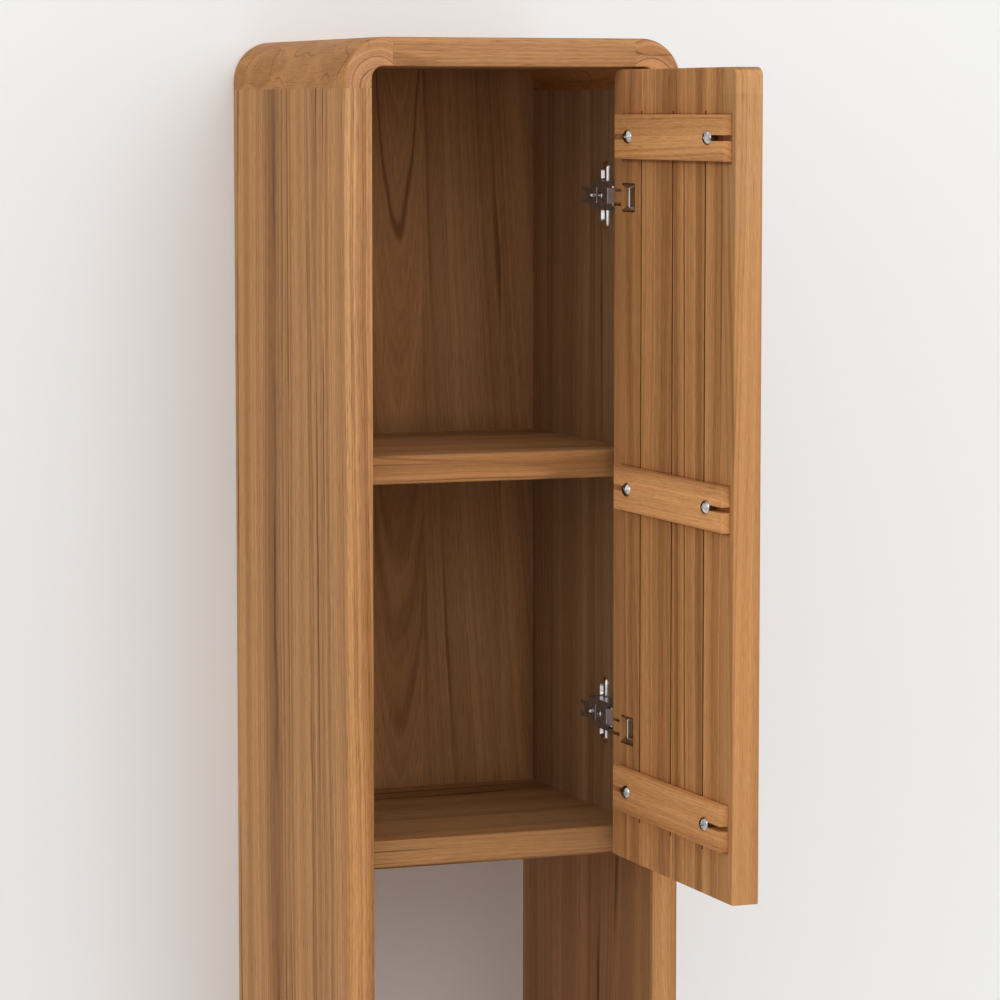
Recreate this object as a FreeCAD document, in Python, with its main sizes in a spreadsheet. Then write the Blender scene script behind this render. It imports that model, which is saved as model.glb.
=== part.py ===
import FreeCAD, Part
import os
import re

import Sketcher
from FreeCAD import Rotation, Vector

# A tall teak cabinet that hangs on a bathroom wall. A ring of boards and rounded corner blocks holds a
# closed compartment with one shelf, above a niche that is open to the wall. The door is set into the ring
# and turns on two hinges at the right. It is drawn open, as it stands in use.
# X points right, Y points into the wall and Z up. The origin is on the wall, midway between the two
# keyholes by which the cabinet hangs. All sizes are in millimetres and degrees.

SIZES = {
    # Ring of boards
    "width": 300,
    "depth": 305,
    "height": 1000,
    "board": 24,
    "corner_side": 42,
    "outer_radius": 35,
    "inner_radius": 10,
    "outer_edge_round": 4,
    "inner_edge_round": 1.5,
    "hang_drop": 100,
    # Closed compartment
    "cabinet_height": 697,
    "floor_board": 24,
    "shelf_board": 24,
    "shelf_drop": 349,
    "shelf_setback": 42,
    "shelf_round": 3,
    "back_board": 8,
    "back_recess": 17,
    "groove_depth": 6,
    "groove_clear": 0.2,
    # Dowels
    "dowel_radius": 4,
    "dowel_length": 32,
    "dowel_margin": 50,
    "dowel_clear": 0.1,
    # Keyhole plates
    "hang_plate_width": 16,
    "hang_plate_height": 70,
    "hang_plate_thick": 2.5,
    "hang_plate_clear": 0.2,
    "keyhole_radius": 5,
    "keyhole_slot": 5.2,
    "keyhole_rise": 12,
    "keyhole_hollow": 10,
    "keyhole_room": 3,
    "hang_screw_half": 27,
    "hang_screw_length": 22,
    # Door
    "door_board": 24,
    "door_gap": 2,
    "door_lift": 2,
    "door_front_round": 2,
    "door_back_round": 1,
    "door_open": 90,
    "kerf_width": 2.5,
    "kerf_depth": 8,
    "kerf_pitch": 65.5,
    "kerf_overrun": 3,
    "kerf_tail": 6.5,
    # Battens on the door's inner face
    "batten_height": 37,
    "batten_thick": 7.5,
    "batten_margin": 13,
    "batten_shift": 5.5,
    "batten_round": 0.8,
    "batten_slot": 4.8,
    "batten_screw_inset": 29.5,
    "batten_screw_length": 20,
    "upper_batten_drop": 56,
    "middle_batten_drop": 351,
    "lower_batten_rise": 61,
    # Hinges: the pin, the ears of the arm and the leaf between them
    "upper_hinge_drop": 107,
    "lower_hinge_rise": 111,
    "pin_radius": 1.5,
    "pin_clear": 0.05,
    "pin_from_edge": 10.5,
    "pin_from_front": 6.5,
    "sweep_clear": 1.2,
    "leaf_half": 4.5,
    "leaf_thick": 3,
    "barrel_radius": 3,
    "ear_radius": 3,
    "ear_thick": 2,
    "ear_clear": 0.4,
    "slit_clear": 1.4,
    # Hinges: the cup in the door
    "cup_from_edge": 17.5,
    "cup_length": 27,
    "cup_height": 24,
    "cup_sheet": 1.2,
    "cup_slot": 15,
    "cup_mouth": 4.5,
    "cup_clear": 0.15,
    "cup_screw_pitch": 14,
    "cross_pin_radius": 0.9,
    "cross_pin_from_edge": 22.5,
    "cross_pin_depth": 4.5,
    # Hinges: the arm and its plate on the right side
    "arm_sheet": 1.5,
    "arm_half": 12.5,
    "arm_run": 42,
    "arm_ahead": 18,
    "arm_air": 1,
    "front_rib": 1,
    "middle_rib": 0.6,
    "tail_half": 7,
    "tail_run": 19,
    "fork_half": 3.5,
    "fork_run": 9,
    "rivet_radius": 1.3,
    "rivet_head": 2.4,
    "rivet_rise": 1.5,
    "rivet_from_front": 61,
    "plate_from_front": 104,
    "plate_thick": 4.5,
    "plate_width": 14,
    "plate_height": 59,
    "plate_crown": 4,
    "wing_end_share": 0.49,
    "plate_run": 50,
    "plate_base_half": 10,
    "plate_base_thick": 2.5,
    "plate_screw_half": 18,
    "dish_radius": 4.2,
    "dish_half": 2.4,
    "dish_depth": 2.8,
    "rail_half": 8,
    "rail_run": 40,
    "arm_screw_pitch": 18,
    "arm_screw_back": 5.3,
    # Screws, by kind: shank radius, head radius and head height
    "wood_shank": 2,
    "wood_head": 6,
    "wood_rise": 4.4,
    "plate_shank": 1.6,
    "plate_head": 2.8,
    "plate_rise": 1.3,
    "plate_screw_length": 18,
    "arm_shank": 1.8,
    "arm_head": 3.2,
    "arm_rise": 1.8,
    "cam_shank": 1.8,
    "cam_head": 2.8,
    "cam_rise": 3.8,
    "arm_screw_length": 9,
    "cup_shank": 1.6,
    "cup_head": 2.8,
    "cup_rise": 1.5,
    "flat_shank": 1.75,
    "flat_head": 3.5,
    "flat_rise": 1.8,
    "screw_clear": 0.05,
    # The crossed recess for a driver, as shares of the head's radius and height
    "recess_reach": 0.55,
    "recess_half": 0.13,
    "recess_depth": 0.6,
}

doc = FreeCAD.newDocument("wall_cabinet")
sheet = doc.addObject("Spreadsheet::Sheet", "Sizes")
for row, (alias, number) in enumerate(SIZES.items(), start=1):
    sheet.set(f"A{row}", alias)
    sheet.set(f"B{row}", str(number))
    sheet.setAlias(f"B{row}", alias)
doc.recompute()

# Places that several pieces share, as formulas of the sizes
TOP = "hang_drop"
BOTTOM = "(hang_drop - height)"
FRONT = "(-depth)"
CLEAR_HALF = "(width / 2 - board)"
SIDE_MIDDLE = "(width / 2 - board / 2)"
TOP_UNDER = "(hang_drop - board)"
FLOOR_UNDER = "(hang_drop - cabinet_height)"
FLOOR_TOP = "(hang_drop - cabinet_height + floor_board)"
SHELF_TOP = "(hang_drop - shelf_drop)"
SHELF_FRONT = "(-depth + shelf_setback)"
BACK_FACE = "(-back_recess - back_board)"

# The door, as it lies when closed
DOOR_EDGE = "(width / 2 - board - door_gap)"
DOOR_TOP = "(hang_drop - board - door_gap)"
DOOR_BOTTOM = "(hang_drop - cabinet_height + door_lift)"
DOOR_BACK = "(-depth + door_board)"
BATTEN_HALF = f"({DOOR_EDGE} - batten_margin)"
BATTEN_ENDS = {"-": f"(-{BATTEN_HALF} - batten_shift)", "+": f"({BATTEN_HALF} - batten_shift)"}
BATTEN_SCREWS = {
    "-": f"({BATTEN_ENDS['-']} + batten_screw_inset)",
    "+": f"({BATTEN_ENDS['+']} - batten_screw_inset)",
}
BATTEN_LEVELS = {
    "upper": f"({DOOR_TOP} - upper_batten_drop)",
    "middle": f"({DOOR_TOP} - middle_batten_drop)",
    "lower": f"({DOOR_BOTTOM} + lower_batten_rise)",
}

# The hinges
HINGE_LEVELS = {
    "upper": f"({DOOR_TOP} - upper_hinge_drop)",
    "lower": f"({DOOR_BOTTOM} + lower_hinge_rise)",
}
PIN_X = f"({DOOR_EDGE} - pin_from_edge)"
PIN_Y = "(-depth + pin_from_front)"
NECK_HALF = "(leaf_half + ear_clear + ear_thick)"
DOOR_SWEEP = "sqrt(pin_from_edge ^ 2 + (door_board - pin_from_front) ^ 2)"
CLEAR_OF_DOOR = f"({PIN_Y} + {DOOR_SWEEP} + sweep_clear)"
WEB_OUT = f"({PIN_X} - ear_radius)"
WEB_IN = f"({PIN_X} - ear_radius + arm_sheet)"
PLATE_Y = "(-depth + plate_from_front)"
PLATE_FACE = f"({CLEAR_HALF} - plate_thick)"
BASE_FACE = f"({CLEAR_HALF} - plate_base_thick)"
DISH_FLOOR = f"({PLATE_FACE} + dish_depth)"
ARM_Y = f"({PLATE_Y} - arm_ahead)"
ARM_FRONT = f"({ARM_Y} - arm_run / 2)"
ARM_BACK = f"({ARM_Y} + arm_run / 2)"
TAIL_END = f"({ARM_BACK} + tail_run)"
ARM_SCREWS = f"({ARM_Y} + arm_screw_back)"
RIVET_Y = "(-depth + rivet_from_front)"
CUP_RIGHT = f"({DOOR_EDGE} - cup_from_edge)"
CUP_LEFT = f"({CUP_RIGHT} - cup_length)"
CUP_MIDDLE = f"({CUP_RIGHT} - cup_length / 2)"
CUP_FLOOR = f"({PIN_Y} + leaf_thick / 2)"
CUP_SEAT = f"({CUP_FLOOR} + cup_sheet)"
CROSS_PIN_X = f"({DOOR_EDGE} - cross_pin_from_edge)"
CROSS_PIN_Y = f"({DOOR_BACK} - cross_pin_depth)"

# A rod or screw is drawn along Z, and these turn it along another direction
TURNS = {
    "z": Rotation(),
    "x": Rotation(Vector(0, 1, 0), 90),
    "-x": Rotation(Vector(0, 1, 0), -90),
    "y": Rotation(Vector(1, 0, 0), -90),
}
PAST = "1"  # how far a cutting tool reaches past a face that it opens

nodes = {}


def formula(text):
    """The same formula with each size named as a cell of the sheet."""
    return re.sub(r"[a-z_]+", lambda m: f"Sizes.{m[0]}" if m[0] in SIZES else m[0], text)


def add(kind, label):
    thing = doc.addObject(kind, label)
    thing.Label = label
    return thing


def bind(thing, rules):
    for name, text in rules.items():
        thing.setExpression(name, formula(text))


def place(thing, x, y, z):
    bind(thing, {"Placement.Base.x": x, "Placement.Base.y": y, "Placement.Base.z": z})


def box(label, x, y, z):
    """A block between a low and a high place on each axis."""
    thing = add("Part::Box", label)
    for size, (low, high) in zip(("Length", "Width", "Height"), (x, y, z)):
        bind(thing, {size: f"({high}) - ({low})"})
    place(thing, x[0], y[0], z[0])
    return thing


def about(middle, half):
    return (f"({middle}) - ({half})", f"({middle}) + ({half})")


def rod(label, axis, radius, span, x="0", y="0", z="0"):
    """A cylinder along an axis, from a low to a high place on it."""
    low, high = span
    thing = add("Part::Cylinder", label)
    thing.Placement.Rotation = TURNS[axis]
    bind(thing, {"Radius": radius, "Height": f"({high}) - ({low})"})
    centre = {"x": x, "y": y, "z": z}
    centre[axis] = low
    place(thing, **centre)
    return thing


def fuse(label, pieces):
    if len(pieces) == 1:
        return pieces[0]
    thing = add("Part::MultiFuse", label)
    thing.Shapes = pieces
    return thing


def cut(label, base, tools):
    thing = add("Part::Cut", label)
    thing.Base = base
    thing.Tool = fuse(label + "_cuts", tools)
    return thing


def group(label, pieces):
    thing = add("Part::Compound", label)
    thing.Links = pieces
    return thing


def swing(thing):
    """Turn a piece of the door about the hinge pins, from closed to where the door stands."""
    bind(thing, {
        "Placement.Rotation.Angle": "door_open * 1 deg",
        "Placement.Base.x": f"{PIN_X} - cos(door_open) * {PIN_X} + sin(door_open) * {PIN_Y}",
        "Placement.Base.y": f"{PIN_Y} - sin(door_open) * {PIN_X} - cos(door_open) * {PIN_Y}",
    })
    return thing


def new_sketch(body, plane_role):
    sketch = body.newObject("Sketcher::SketchObject", body.Label + "_outline")
    plane = next(f for f in body.Origin.OriginFeatures if f.Role == plane_role)
    sketch.AttachmentSupport = [(plane, "")]
    sketch.MapMode = "FlatFace"
    return sketch


def measure(sketch, name, text, constraint):
    number = sketch.addConstraint(constraint)
    sketch.renameConstraint(number, name)
    bind(sketch, {f"Constraints.{name}": text})


def rectangle(body, plane_role, across, along):
    """A rectangle with one corner at the body's origin."""
    sketch = new_sketch(body, plane_role)
    corners = [Vector(0, 0), Vector(100, 0), Vector(100, 50), Vector(0, 50)]
    for one in range(4):
        sketch.addGeometry(Part.LineSegment(corners[one], corners[(one + 1) % 4]))
    for one in range(4):
        sketch.addConstraint(Sketcher.Constraint("Coincident", one, 2, (one + 1) % 4, 1))
    for level in (0, 2):
        sketch.addConstraint(Sketcher.Constraint("Horizontal", level))
    for upright in (1, 3):
        sketch.addConstraint(Sketcher.Constraint("Vertical", upright))
    sketch.addConstraint(Sketcher.Constraint("Coincident", 0, 1, -1, 1))
    measure(sketch, "across", across, Sketcher.Constraint("DistanceX", 0, 1, 0, 2, 100))
    measure(sketch, "along", along, Sketcher.Constraint("DistanceY", 1, 1, 1, 2, 50))
    return sketch


def pad(body, sketch, length):
    feature = body.newObject("PartDesign::Pad", body.Label + "_pad")
    feature.Profile = sketch
    bind(feature, {"Length": length})
    doc.recompute()
    return feature


def round_edges(body, name, radius, wanted):
    """Round the edges of the body's last feature that the test picks."""
    base = body.Tip
    names = [f"Edge{n}" for n, edge in enumerate(base.Shape.Edges, start=1) if wanted(edge)]
    feature = body.newObject("PartDesign::Fillet", f"{body.Label}_{name}")
    feature.Base = (base, names)
    bind(feature, {"Radius": radius})
    doc.recompute()
    return feature


def lies_at(edge, axis, value):
    return all(abs(getattr(v, axis) - value) < 1e-6 for v in edge.Vertexes)


def level_along(edge, axis):
    return abs(getattr(edge.Vertexes[0], axis) - getattr(edge.Vertexes[-1], axis)) > 1e-6


def board(label, run, x, y, z, radius, soft_face="front", outside=None):
    """A board padded along X or Z, with its two long edges on one face rounded.

    A board of the ring says whether its low or its high edge lies outside, which is then rounder.
    """
    (x0, x1), (y0, y1), (z0, z1) = x, y, z
    wide, deep, tall = f"({x1}) - ({x0})", f"({y1}) - ({y0})", f"({z1}) - ({z0})"
    body = add("PartDesign::Body", label)
    if run == "z":
        pad(body, rectangle(body, "XY_Plane", wide, deep), tall)
    else:
        pad(body, rectangle(body, "YZ_Plane", deep, tall), wide)
    bounds = body.Tip.Shape.BoundBox
    face_y = 0 if soft_face == "front" else bounds.YMax
    across = "X" if run == "z" else "Z"
    outer_edge = {"low": 0, "high": getattr(bounds, across + "Max")}.get(outside)

    def on_face(edge):
        return lies_at(edge, "Y", face_y) and level_along(edge, run.upper())

    def lies_outside(edge):
        return outside and lies_at(edge, across, outer_edge)

    round_edges(body, "soft_edges", radius, lambda e: on_face(e) and not lies_outside(e))
    if outside:
        round_edges(body, "outer_edge", "outer_edge_round", lambda e: on_face(e) and lies_outside(e))
    place(body, x0, y0, z0)
    return body


def cross_recess(label, head, rise, top):
    """The crossed slots for a driver, sunk into a head whose top lies on Z = top."""
    reach, half = f"{head} * recess_reach", f"{head} * recess_half"
    span = (f"{top} - {rise} * recess_depth", f"{top} + {PAST}")
    return fuse(label, [
        box(label + "_a", about("0", reach), about("0", half), span),
        box(label + "_b", about("0", half), about("0", reach), span),
    ])


def round_screw(kind, length):
    """A screw with a full round head that stands on Z = 0, its shank below."""
    label = f"{kind}_screw"
    shank, head, rise = f"{kind}_shank", f"{kind}_head", f"{kind}_rise"
    cap = add("Part::Ellipsoid", label + "_cap")
    cap.Angle1 = 0
    bind(cap, {"Radius1": rise, "Radius2": head, "Radius3": head})
    root = f"{rise} * (1 - recess_depth)"
    body = fuse(label + "_blank", [cap, rod(label + "_shank", "z", shank, (f"-({length})", root))])
    return cut(label, body, [cross_recess(label + "_recess", head, rise, rise)])


def flat_head(label, shank, length, head, rise):
    """A countersunk shape whose flat top lies on Z = 0."""
    cone = add("Part::Cone", label + "_cone")
    bind(cone, {"Radius1": shank, "Radius2": head, "Height": rise, "Placement.Base.z": f"-({rise})"})
    return fuse(label, [cone, rod(label + "_shank", "z", shank, (f"-({length})", f"-({rise}) / 2"))])


def flat_screw(kind, length):
    label = f"{kind}_screw"
    head, rise = f"{kind}_head", f"{kind}_rise"
    blank = flat_head(label + "_blank", f"{kind}_shank", length, head, rise)
    return cut(label, blank, [cross_recess(label + "_recess", head, rise, "0")])


def copies(label, master, facing, places):
    """Copies of one piece, drawn along Z, that face a direction at each of the places."""
    links = []
    for x, y, z in places:
        link = add("App::Link", f"{label}_{len(links) + 1}")
        link.LinkedObject = master
        link.Placement.Rotation = TURNS[facing]
        place(link, x, y, z)
        links.append(link)
    return links


def corner_block(label, turn, x, z):
    """A solid corner: a square block with a round outside, hollowed to the boards' thickness inside."""
    side, thick = sheet.corner_side, sheet.board
    outside, inside = sheet.outer_radius, sheet.inner_radius
    body = add("PartDesign::Body", label)
    sketch = new_sketch(body, "XZ_Plane")
    knee = thick + inside

    def line(start, end):
        sketch.addGeometry(Part.LineSegment(Vector(*start), Vector(*end)))

    def arc(centre, radius, start, middle, end):
        points = [Vector(centre[0] + radius * a, centre[1] + radius * b) for a, b in (start, middle, end)]
        sketch.addGeometry(Part.Arc(*points))

    slant = 0.5 ** 0.5
    line((0, 0), (0, side - outside))
    arc((outside, side - outside), outside, (-1, 0), (-slant, slant), (0, 1))
    line((outside, side), (side, side))
    line((side, side), (side, side - thick))
    line((side, side - thick), (knee, side - thick))
    arc((knee, side - knee), inside, (0, 1), (-slant, slant), (-1, 0))
    line((thick, side - knee), (thick, 0))
    line((thick, 0), (0, 0))
    # an arc runs against the clock from its point 1, so these two meet their neighbours end to start
    for one, end, other, start in (
        (0, 2, 1, 2), (1, 1, 2, 1), (2, 2, 3, 1), (3, 2, 4, 1),
        (4, 2, 5, 1), (5, 2, 6, 1), (6, 2, 7, 1), (7, 2, 0, 1),
    ):
        kind = "Tangent" if {one, other} & {1, 5} else "Coincident"
        sketch.addConstraint(Sketcher.Constraint(kind, one, end, other, start))
    for upright in (0, 3, 6):
        sketch.addConstraint(Sketcher.Constraint("Vertical", upright))
    for level in (2, 4, 7):
        sketch.addConstraint(Sketcher.Constraint("Horizontal", level))
    sketch.addConstraint(Sketcher.Constraint("Coincident", 0, 1, -1, 1))
    measure(sketch, "across", "corner_side", Sketcher.Constraint("DistanceX", 0, 1, 3, 1, side))
    measure(sketch, "along", "corner_side", Sketcher.Constraint("DistanceY", 0, 1, 3, 1, side))
    measure(sketch, "outside", "outer_radius", Sketcher.Constraint("Radius", 1, outside))
    measure(sketch, "inside", "inner_radius", Sketcher.Constraint("Radius", 5, inside))
    measure(sketch, "upright_leg", "board", Sketcher.Constraint("DistanceX", 7, 2, 7, 1, thick))
    measure(sketch, "level_leg", "board", Sketcher.Constraint("DistanceY", 3, 2, 3, 1, thick))
    pad(body, sketch, "depth")
    front = -sheet.depth

    def on_outline(edge):
        seam = lies_at(edge, "X", sheet.corner_side) or lies_at(edge, "Z", 0)
        return lies_at(edge, "Y", front) and not seam

    def lies_outside(edge):
        return all(abs(v.X) < 1e-6 or abs(v.Z - sheet.corner_side) < 1e-6 for v in edge.Vertexes)

    round_edges(body, "soft_edges", "inner_edge_round", lambda e: on_outline(e) and not lies_outside(e))
    round_edges(body, "outer_edge", "outer_edge_round", lambda e: on_outline(e) and lies_outside(e))
    body.Placement.Rotation = Rotation(Vector(0, 1, 0), turn)
    place(body, x, "0", z)
    return body


def dowels(label, spots):
    """Dowels that reach half their length into each of two boards, and the holes that take them."""
    pins, holes = [], []
    for number, (axis, spot) in enumerate(spots, start=1):
        across = {name: text for name, text in zip("xyz", spot) if name != axis}
        seam = spot["xyz".index(axis)]
        span = about(seam, "dowel_length / 2")
        room = about(seam, "dowel_length / 2 + dowel_clear")
        pins.append(rod(f"{label}_{number}", axis, "dowel_radius", span, **across))
        holes.append(rod(f"{label}_hole_{number}", axis, "dowel_radius + dowel_clear", room, **across))
    nodes[label] = group(label, pins)
    return fuse(label + "_holes", holes)


# Dowels in the ring's eight seams, and along the ends of the shelf and the floor
RING_ROWS = ("-dowel_margin", "-depth / 2", "-depth + dowel_margin")
FLOOR_ROWS = ("-dowel_margin", f"{CLEAR_OF_DOOR} / 2", f"{CLEAR_OF_DOOR} + dowel_margin")
SHELF_ROWS = (
    f"{BACK_FACE} - dowel_margin",
    f"({BACK_FACE} + {SHELF_FRONT}) / 2",
    f"{SHELF_FRONT} + dowel_margin",
)
ring_spots = []
floor_spots = []
shelf_spots = []
for sign in ("-", "+"):
    for y in RING_ROWS:
        for seam in ("hang_drop - corner_side", f"{BOTTOM} + corner_side"):
            ring_spots.append(("z", (f"{sign}{SIDE_MIDDLE}", y, seam)))
        for level in ("hang_drop - board / 2", f"{BOTTOM} + board / 2"):
            ring_spots.append(("x", (f"{sign}(width / 2 - corner_side)", y, level)))
    for y in FLOOR_ROWS:
        floor_spots.append(("x", (f"{sign}{CLEAR_HALF}", y, f"{FLOOR_TOP} - floor_board / 2")))
    for y in SHELF_ROWS:
        shelf_spots.append(("x", (f"{sign}{CLEAR_HALF}", y, f"{SHELF_TOP} - shelf_board / 2")))
ring_holes = dowels("corner_dowels", ring_spots)
floor_holes = dowels("floor_dowels", floor_spots)
shelf_holes = dowels("shelf_dowels", shelf_spots)

# Back panel, in a groove all round
nodes["back_panel"] = box(
    "back_panel",
    about("0", f"{CLEAR_HALF} + groove_depth"),
    (BACK_FACE, "-back_recess"),
    (f"{FLOOR_TOP} - groove_depth", f"{TOP_UNDER} + groove_depth"),
)
back_groove = box(
    "back_groove",
    about("0", f"{CLEAR_HALF} + groove_depth + groove_clear"),
    (f"{BACK_FACE} - groove_clear", "-back_recess + groove_clear"),
    (f"{FLOOR_TOP} - groove_depth - groove_clear", f"{TOP_UNDER} + groove_depth + groove_clear"),
)

# Keyhole plates, let flush into the rear edges of the sides
flat_master = flat_screw("flat", "hang_screw_length")
flat_room = flat_head(
    "flat_screw_room", "flat_shank + screw_clear", "hang_screw_length + screw_clear",
    "flat_head + screw_clear", "flat_rise",
)
hang_places = [
    (f"{sign}{SIDE_MIDDLE}", "0", level)
    for sign in ("-", "+")
    for level in ("-hang_screw_half", "hang_screw_half")
]
nodes["hanging_plate_screws"] = group(
    "hanging_plate_screws", copies("hanging_screw", flat_master, "y", hang_places),
)
hang_screw_holes = fuse("hanging_screw_holes", copies("hanging_screw_hole", flat_room, "y", hang_places))

hang_recesses = {}
for side_name, sign in (("left", "-"), ("right", "+")):
    middle = f"{sign}{SIDE_MIDDLE}"
    label = f"{side_name}_hanging_plate"
    thick = ("-hang_plate_thick", "0")
    through = (f"-hang_plate_thick - {PAST}", PAST)
    blank = box(label + "_blank", about(middle, "hang_plate_width / 2"), thick,
                about("0", "hang_plate_height / 2"))
    keyhole = [
        rod(label + "_entry", "y", "keyhole_radius", through, x=middle),
        box(label + "_slot", about(middle, "keyhole_slot / 2"), through, ("0", "keyhole_rise")),
        rod(label + "_seat", "y", "keyhole_slot / 2", through, x=middle, z="keyhole_rise"),
    ]
    nodes[label] = cut(label, blank, keyhole + [hang_screw_holes])
    hang_recesses[side_name] = [
        box(label + "_recess", about(middle, "hang_plate_width / 2 + hang_plate_clear"),
            ("-hang_plate_thick", PAST), about("0", "hang_plate_height / 2 + hang_plate_clear")),
        box(label + "_hollow", about(middle, "keyhole_radius + keyhole_room / 2"),
            ("-hang_plate_thick - keyhole_hollow", "0"),
            ("-keyhole_radius - keyhole_room", "keyhole_rise + keyhole_radius + keyhole_room")),
        hang_screw_holes,
    ]

# Screws of the hinge plates: each lies at the bottom of an oblong dish in a wing and goes into the right side
plate_places = [
    (DISH_FLOOR, PLATE_Y, f"{level} {sign} plate_screw_half")
    for level in HINGE_LEVELS.values()
    for sign in ("-", "+")
]
plate_master = flat_screw("plate", "plate_screw_length")
nodes["plate_screws"] = group("plate_screws", copies("plate_screw_copy", plate_master, "-x", plate_places))
plate_room = flat_head(
    "plate_screw_room", "plate_shank + screw_clear", "plate_screw_length + screw_clear",
    "plate_head + screw_clear", "plate_rise",
)
dish_foot = "(plate_head + screw_clear)"
dish_pieces = []
for sign in ("-", "+"):
    dish_end = add("Part::Cone", f"dish_end_{len(dish_pieces)}")
    bind(dish_end, {"Radius1": dish_foot, "Radius2": "dish_radius", "Height": "dish_depth"})
    place(dish_end, f"{sign}dish_half", "0", "0")
    dish_pieces.append(dish_end)
dish_middle = add("Part::Wedge", "dish_middle")
for rule, half in (("X{}", "dish_half"), ("X2{}", "dish_half"), ("Z{}", dish_foot), ("Z2{}", "dish_radius")):
    bind(dish_middle, {rule.format("min"): f"-{half}", rule.format("max"): half})
bind(dish_middle, {"Ymin": "0", "Ymax": "dish_depth"})
dish_middle.Placement.Rotation = Rotation(Vector(1, 0, 0), 90)
dish = fuse("plate_dish", dish_pieces + [dish_middle])
plate_rooms = copies("plate_screw_hole", plate_room, "-x", plate_places)
plate_dishes = copies("wing_dish", dish, "-x", plate_places)
plate_screw_holes = fuse("plate_screw_holes", plate_rooms + plate_dishes)

# Ring of boards and corner blocks
side_span = (f"{BOTTOM} + corner_side", "hang_drop - corner_side")
deep = (FRONT, "0")
left_blank = board("left_side_blank", "z", ("-width / 2", f"-{CLEAR_HALF}"), deep, side_span,
                   "inner_edge_round", outside="low")
right_blank = board("right_side_blank", "z", (CLEAR_HALF, "width / 2"), deep, side_span,
                    "inner_edge_round", outside="high")
common_cuts = [ring_holes, floor_holes, shelf_holes, back_groove]
nodes["left_side"] = cut("left_side", left_blank, common_cuts + hang_recesses["left"])
nodes["right_side"] = cut(
    "right_side", right_blank, common_cuts + hang_recesses["right"] + [plate_screw_holes],
)
level_span = about("0", "width / 2 - corner_side")
top_blank = board("top_blank", "x", level_span, deep, (TOP_UNDER, TOP), "inner_edge_round", outside="high")
base_blank = board("base_blank", "x", level_span, deep, (BOTTOM, f"{BOTTOM} + board"), "inner_edge_round",
                   outside="low")
nodes["top_board"] = cut("top_board", top_blank, [ring_holes, back_groove])
nodes["base_board"] = cut("base_board", base_blank, [ring_holes])
for label, turn, x, z in (
    ("upper_left_corner", 0, "-width / 2", "hang_drop - corner_side"),
    ("upper_right_corner", 90, "width / 2 - corner_side", TOP),
    ("lower_right_corner", 180, "width / 2", f"{BOTTOM} + corner_side"),
    ("lower_left_corner", 270, "-width / 2 + corner_side", BOTTOM),
):
    block = corner_block(label + "_blank", turn, x, z)
    nodes[label] = cut(label, block, [ring_holes, back_groove])

# Floor of the closed compartment and the shelf in it
floor_blank = board(
    "floor_blank", "x", about("0", CLEAR_HALF), (CLEAR_OF_DOOR, "0"), (FLOOR_UNDER, FLOOR_TOP),
    "inner_edge_round",
)
nodes["cabinet_floor"] = cut("cabinet_floor", floor_blank, [floor_holes, back_groove])
shelf_blank = board(
    "shelf_blank", "x", about("0", CLEAR_HALF), (SHELF_FRONT, BACK_FACE),
    (f"{SHELF_TOP} - shelf_board", SHELF_TOP), "shelf_round",
)
nodes["middle_shelf"] = cut("middle_shelf", shelf_blank, [shelf_holes])

# Battens, each with an open slot at both ends for a screw that lets the door board swell and shrink
batten_places = [
    (x, f"{DOOR_BACK} + batten_thick", level)
    for level in BATTEN_LEVELS.values()
    for x in BATTEN_SCREWS.values()
]
wood_master = round_screw("wood", "batten_screw_length")
nodes["batten_screws"] = swing(
    group("batten_screws", copies("batten_screw", wood_master, "y", batten_places)),
)
batten_slots = {
    "-": (f"{BATTEN_ENDS['-']} - {PAST}", BATTEN_SCREWS["-"]),
    "+": (BATTEN_SCREWS["+"], f"{BATTEN_ENDS['+']} + {PAST}"),
}
batten_face = (DOOR_BACK, f"{DOOR_BACK} + batten_thick")
batten_through = (f"{DOOR_BACK} - {PAST}", f"{DOOR_BACK} + batten_thick + {PAST}")
for name, level in BATTEN_LEVELS.items():
    label = f"{name}_batten"
    blank = board(label + "_blank", "x", (BATTEN_ENDS["-"], BATTEN_ENDS["+"]), batten_face,
                  about(level, "batten_height / 2"), "batten_round", soft_face="back")
    slots = []
    for sign, ends in batten_slots.items():
        slots += [
            box(f"{label}_slot_{len(slots)}", ends, batten_through, about(level, "batten_slot / 2")),
            rod(f"{label}_slot_end_{len(slots)}", "y", "batten_slot / 2", batten_through,
                x=BATTEN_SCREWS[sign], z=level),
        ]
    nodes[label] = swing(cut(label, blank, slots))

# Hinges
arm_screws, arm_bores = [], []
for kind, sign in (("arm", "-"), ("cam", "+")):
    spots = [(WEB_OUT, f"{ARM_SCREWS} {sign} arm_screw_pitch / 2", level) for level in HINGE_LEVELS.values()]
    arm_screws += copies(f"{kind}_screw_copy", round_screw(kind, "arm_screw_length"), "-x", spots)
    for x, y, z in spots:
        arm_bores.append(rod(
            f"arm_screw_hole_{len(arm_bores)}", "x", f"{kind}_shank + screw_clear",
            (f"{x} - {PAST}", f"{x} + arm_screw_length + screw_clear"), y=y, z=z,
        ))
nodes["arm_screws"] = group("arm_screws", arm_screws)
arm_screw_holes = fuse("arm_screw_holes", arm_bores)
cup_screw_length = "(cup_sheet + leaf_thick)"
cup_screw_spots = [
    (f"{CUP_MIDDLE} {sign} cup_screw_pitch / 2", CUP_SEAT, level)
    for level in HINGE_LEVELS.values()
    for sign in ("-", "+")
]
cup_master = round_screw("cup", cup_screw_length)
nodes["cup_screws"] = swing(group("cup_screws", copies("cup_screw_copy", cup_master, "y", cup_screw_spots)))
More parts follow.
